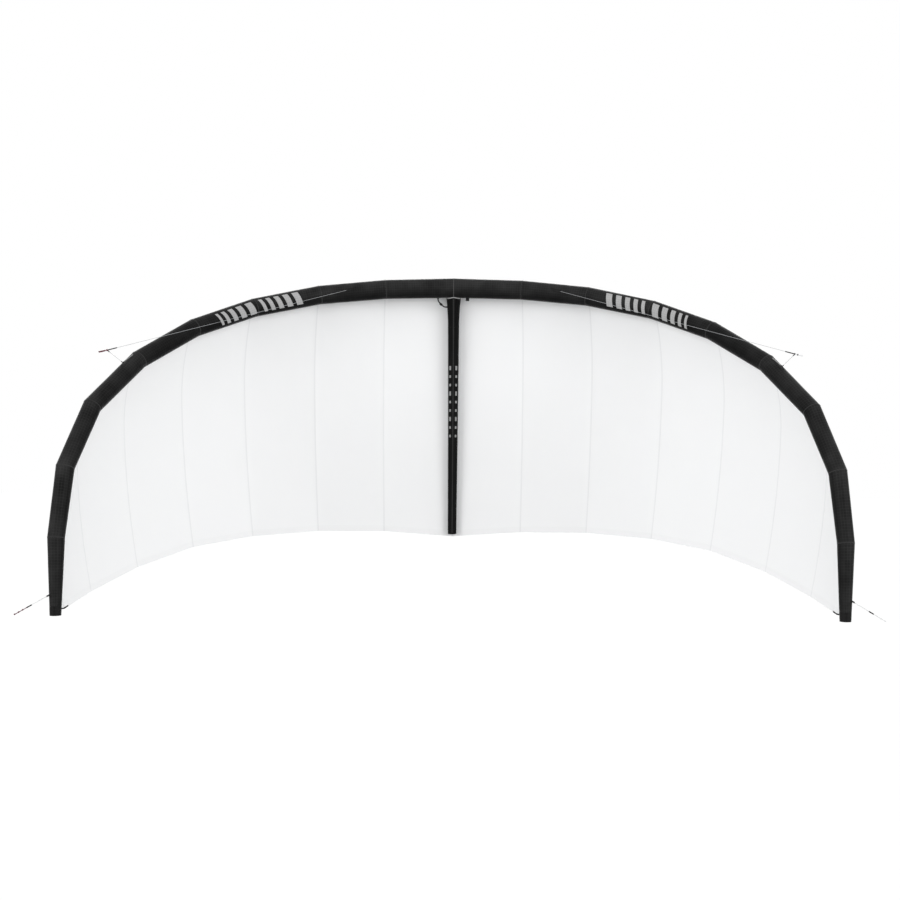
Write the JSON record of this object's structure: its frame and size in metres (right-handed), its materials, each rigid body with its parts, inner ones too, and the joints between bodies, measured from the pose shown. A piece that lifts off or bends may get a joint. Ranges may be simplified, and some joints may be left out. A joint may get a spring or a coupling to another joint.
{
  "type": "kitesurfing kite",
  "caption": "Inflatable kitesurfing kite: arched black tube, central strut, white cambered canopy, inflation valve with hinged cap, hose with clip, and taut bridle lines.",
  "frame": {"origin": "middle of the leading edge tube, on its centre line", "axes": "+X to the right along the span as seen by the rider who faces the kite, +Y from the rider to the kite, +Z from the trailing edge to the leading edge"},
  "size_m": [5.3436, 2.7635, 2.456],
  "materials": {
    "black_dacron": "woven polyester tube cloth, matt",
    "strut_dacron": "woven polyester tube cloth, matt black",
    "white_ripstop": "coated ripstop canopy cloth, slight sheen",
    "white_band_dacron": "woven polyester band, matt",
    "dark_patch_dacron": "woven polyester patch, matt",
    "bladder_film": "thin polyurethane film, translucent",
    "black_plastic": "moulded plastic, fine satin",
    "black_hose": "flexible hose, smooth",
    "black_webbing": "woven webbing, matt",
    "grey_line": "braided line, matt",
    "wine_red_line": "braided line, matt"
  },
  "bodies": {
    "wing": {"le_panel_right_1": "black_dacron", "le_panel_right_2": "black_dacron", "le_panel_right_3": "black_dacron", "le_panel_right_4": "black_dacron", "le_panel_right_5": "black_dacron", "le_panel_right_6": "black_dacron", "le_panel_right_7": "black_dacron", "le_panel_right_8": "black_dacron", "le_panel_right_9": "black_dacron", "le_tip_end_right": "dark_patch_dacron", "canopy_panel_right_1": "white_ripstop", "canopy_panel_right_2": "white_ripstop", "canopy_panel_right_3": "white_ripstop", "canopy_panel_right_4": "white_ripstop", "canopy_tip_right": "white_ripstop", "trailing_band_right": "white_band_dacron", "tip_corner_right": "dark_patch_dacron", "inner_bridle_anchor_right": "black_webbing", "inner_bridle_line_right": "grey_line", "v_strap_right": "black_webbing", "outer_bridle_line_right": "grey_line", "front_pigtail_right": "grey_line", "rear_pigtail_right": "grey_line", "rear_anchor_right": "black_webbing", "le_panel_left_1": "black_dacron", "le_panel_left_2": "black_dacron", "le_panel_left_3": "black_dacron", "le_panel_left_4": "black_dacron", "le_panel_left_5": "black_dacron", "le_panel_left_6": "black_dacron", "le_panel_left_7": "black_dacron", "le_panel_left_8": "black_dacron", "le_panel_left_9": "black_dacron", "le_tip_end_left": "dark_patch_dacron", "canopy_panel_left_1": "white_ripstop", "canopy_panel_left_2": "white_ripstop", "canopy_panel_left_3": "white_ripstop", "canopy_panel_left_4": "white_ripstop", "canopy_tip_left": "white_ripstop", "trailing_band_left": "white_band_dacron", "tip_corner_left": "dark_patch_dacron", "inner_bridle_anchor_left": "black_webbing", "inner_bridle_line_left": "grey_line", "v_strap_left": "black_webbing", "outer_bridle_line_left": "grey_line", "front_pigtail_left": "wine_red_line", "rear_pigtail_left": "wine_red_line", "rear_anchor_left": "black_webbing", "le_bladder": "bladder_film", "strut_bladder": "bladder_film", "strut_root_panel": "strut_dacron", "strut_sleeve": "strut_dacron", "strut_tail_cap": "strut_dacron", "inflation_valve": "black_plastic", "le_hose_fitting": "black_plastic", "strut_hose_fitting": "black_plastic", "hose_clip": "black_plastic", "one_pump_hose": "black_hose"},
    "valve_cap": {"inflation_valve_cap": "black_plastic"},
    "clip_lever": {"hose_clip_lever": "black_plastic"}
  },
  "joints": [
    {"name": "valve_cap_hinge", "type": "hinge", "parent": "wing", "child": "valve_cap", "pos_m": [0.10953, -0.02187, -0.09952], "axis": [-0.998, 0.055, 0.0308], "range_deg": [0, 150]},
    {"name": "hose_clip_hinge", "type": "hinge", "parent": "wing", "child": "clip_lever", "pos_m": [-0.09964, 0.02331, -0.12633], "axis": [-0.6382, 0, -0.7699], "range_deg": [0, 75]}
  ]
}
